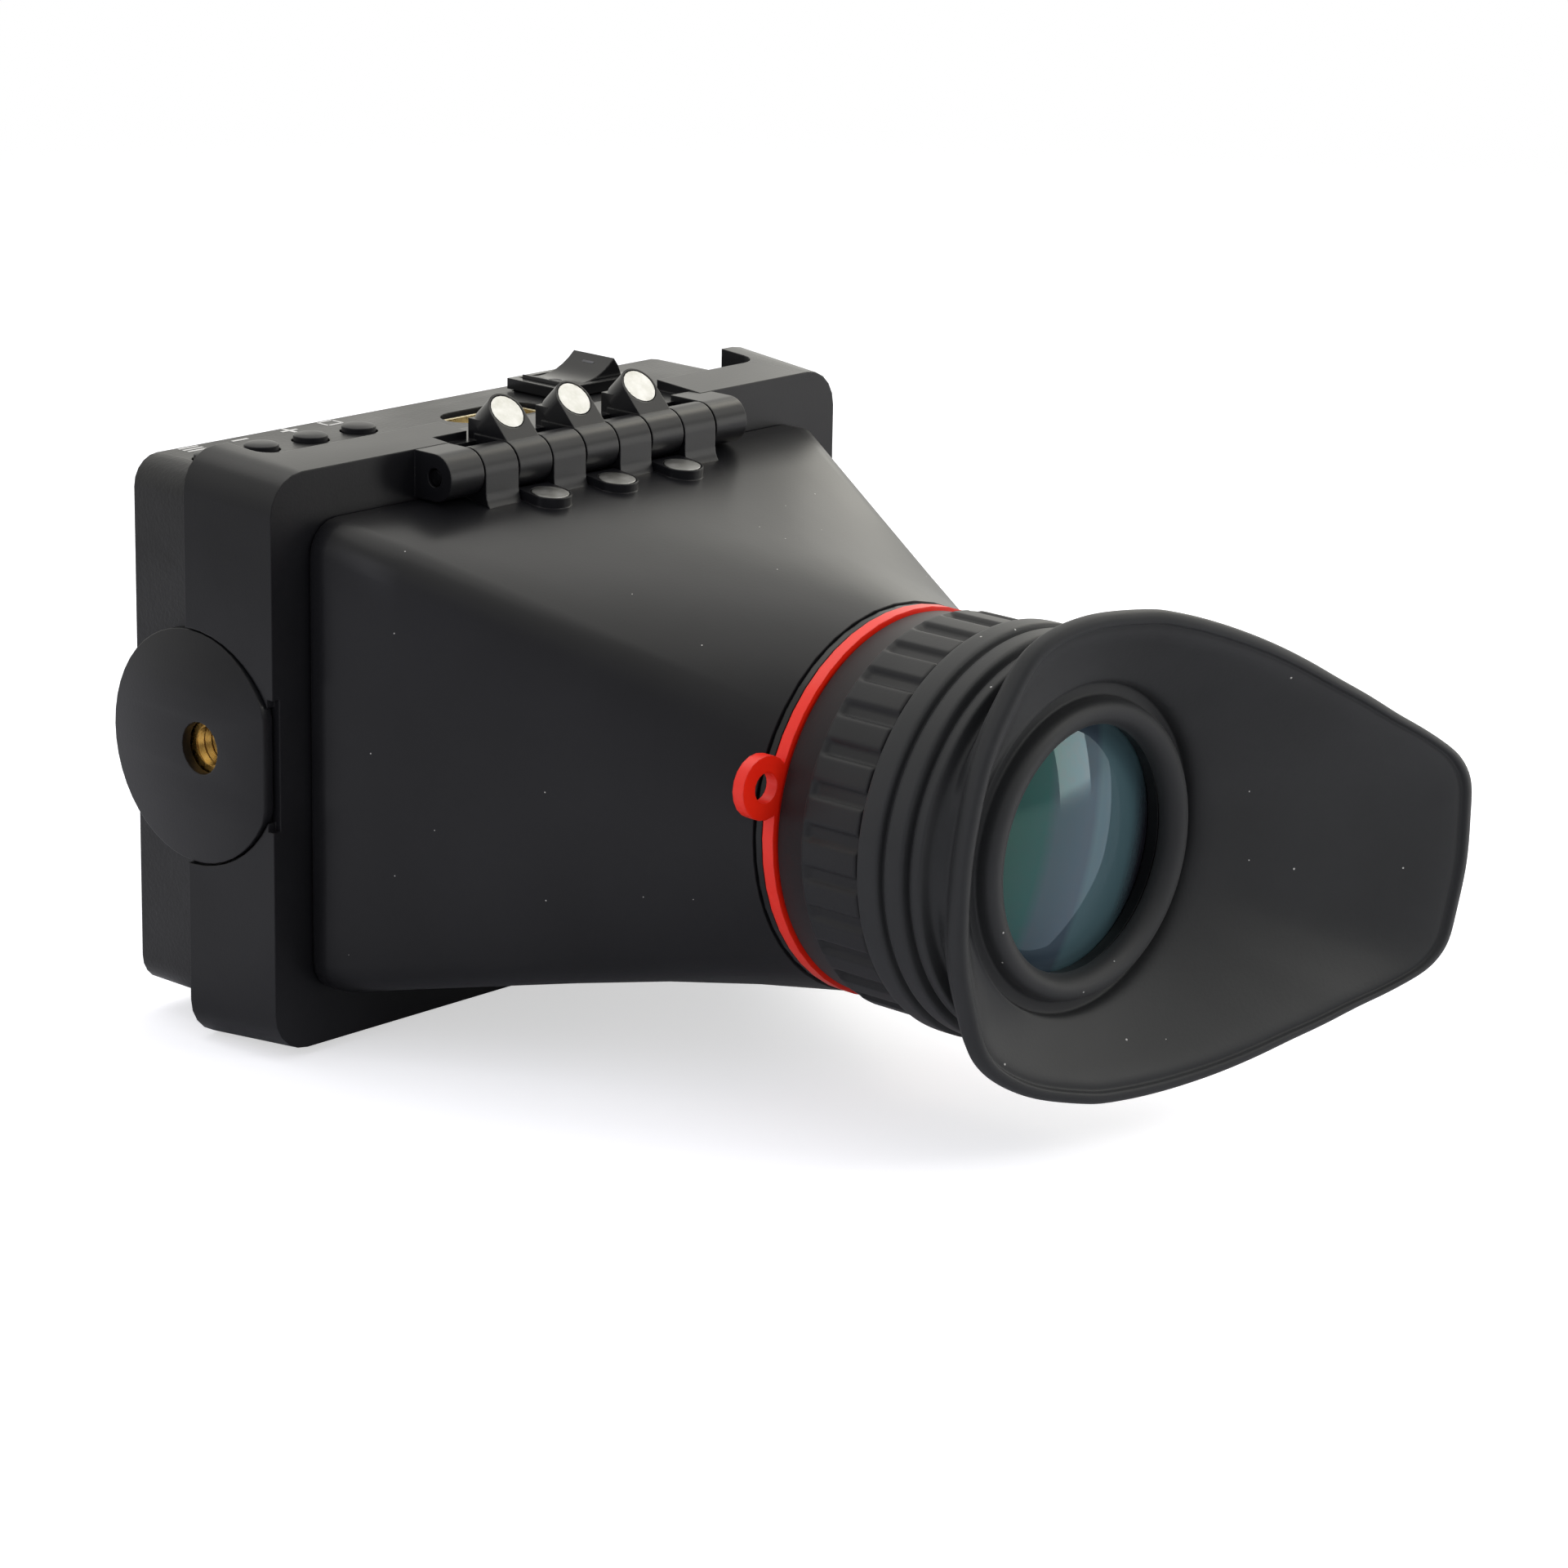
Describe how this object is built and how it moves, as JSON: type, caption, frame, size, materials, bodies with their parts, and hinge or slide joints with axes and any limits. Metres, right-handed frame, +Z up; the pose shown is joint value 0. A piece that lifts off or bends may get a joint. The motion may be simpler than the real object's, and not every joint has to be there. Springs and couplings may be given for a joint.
{
  "type": "electronic viewfinder",
  "caption": "Camera viewfinder: display module with keys, socket and rocker switch, flip-up magnifier hood, fluted focus ring and winged rubber eyecup.",
  "frame": {"origin": "under the middle of the bounding box, at its lowest level", "axes": "-Y towards the eye, +Z up, +X to the right of somebody looking in; the display module is at +Y"},
  "size_m": [0.1086, 0.1444, 0.0842],
  "materials": {
    "black_abs": "satin, fine texture",
    "gloss_black_abs": "glossy",
    "key_black": "satin",
    "socket_plastic": "matt",
    "black_rubber": "matt",
    "red_plastic": "satin gloss",
    "blackened_steel": "blackened",
    "nickel_plate": "nickel plated",
    "brass": "machined",
    "gilt_shell": "gold plated",
    "coated_glass": "multi-coated",
    "clear_acrylic": "clear, hard coated",
    "panel_glass": "dark polarised face",
    "white_plastic": "matt",
    "circuit_board": "solder mask",
    "switch_grey": "matt"
  },
  "bodies": {
    "module": {"front_frame": "black_abs", "rear_housing": "black_abs", "rear_cover": "black_abs", "cover_screw_1": "blackened_steel", "cover_screw_2": "blackened_steel", "cover_screw_3": "blackened_steel", "cover_screw_4": "blackened_steel", "display_window": "clear_acrylic", "lcd_panel": "panel_glass", "backlight": "white_plastic", "main_board": "circuit_board", "key_board": "circuit_board", "tact_switch_1": "switch_grey", "tact_switch_2": "switch_grey", "tact_switch_3": "switch_grey", "tact_switch_4": "switch_grey", "signal_socket": "gilt_shell", "power_jack": "socket_plastic", "switch_body": "gloss_black_abs", "side_disc_left": "black_abs", "side_disc_right": "black_abs", "thread_insert_left": "brass", "thread_insert_right": "brass", "hinge_pin": "blackened_steel", "frame_magnet_1": "nickel_plate", "frame_magnet_2": "nickel_plate", "frame_magnet_3": "nickel_plate"},
    "hood": {"hood": "black_abs", "hood_magnet_1": "nickel_plate", "hood_magnet_2": "nickel_plate", "hood_magnet_3": "nickel_plate", "neck_ring": "gloss_black_abs"},
    "strap_ring": {"strap_ring": "red_plastic"},
    "focus_ring": {"focus_ring": "black_rubber"},
    "lens_carrier": {"lens_carrier": "black_abs", "eye_lens": "coated_glass", "field_lens": "coated_glass", "lens_spacer": "black_abs", "lens_retainer": "black_abs"},
    "eyecup": {"eyecup": "black_rubber"},
    "rocker": {"rocker": "gloss_black_abs"},
    "key_1": {"key_1": "key_black"},
    "key_2": {"key_2": "key_black"},
    "key_3": {"key_3": "key_black"},
    "key_4": {"key_4": "key_black"}
  },
  "joints": [
    {"name": "hood_flip", "type": "hinge", "parent": "module", "child": "hood", "pos_m": [-0.00018, 0.03754, 0.07586], "axis": [-1, 0, 0], "range_deg": [0, 137]},
    {"name": "strap_turn", "type": "hinge", "parent": "hood", "child": "strap_ring", "pos_m": [-0.00018, -0.02116, 0.03871], "axis": [0, -1, 0], "continuous": true},
    {"name": "focus_turn", "type": "hinge", "parent": "hood", "child": "focus_ring", "pos_m": [-0.00018, -0.02866, 0.03871], "axis": [0, -1, 0], "range_deg": [0, 180]},
    {"name": "carrier_slide", "type": "slide", "parent": "hood", "child": "lens_carrier", "axis": [0, -1, 0], "range_m": [0, 0.004]},
    {"name": "eyecup_turn", "type": "hinge", "parent": "lens_carrier", "child": "eyecup", "pos_m": [-0.00018, -0.04366, 0.03871], "axis": [0, -1, 0], "continuous": true},
    {"name": "switch_tip", "type": "hinge", "parent": "module", "child": "rocker", "pos_m": [0.02282, 0.06384, 0.07691], "axis": [0, 1, 0], "range_deg": [0, 24]},
    {"name": "key_1_press", "type": "slide", "parent": "module", "child": "key_1", "axis": [0, 0, -1], "range_m": [0, 0.0006], "stiffness_N_per_m": 300},
    {"name": "key_2_press", "type": "slide", "parent": "module", "child": "key_2", "axis": [0, 0, -1], "range_m": [0, 0.0006], "stiffness_N_per_m": 300},
    {"name": "key_3_press", "type": "slide", "parent": "module", "child": "key_3", "axis": [0, 0, -1], "range_m": [0, 0.0006], "stiffness_N_per_m": 300},
    {"name": "key_4_press", "type": "slide", "parent": "module", "child": "key_4", "axis": [0, 0, -1], "range_m": [0, 0.0006], "stiffness_N_per_m": 300}
  ],
  "couplings": [
    {"joint": "focus_turn", "follows": "carrier_slide", "rad_per_m": 785}
  ]
}
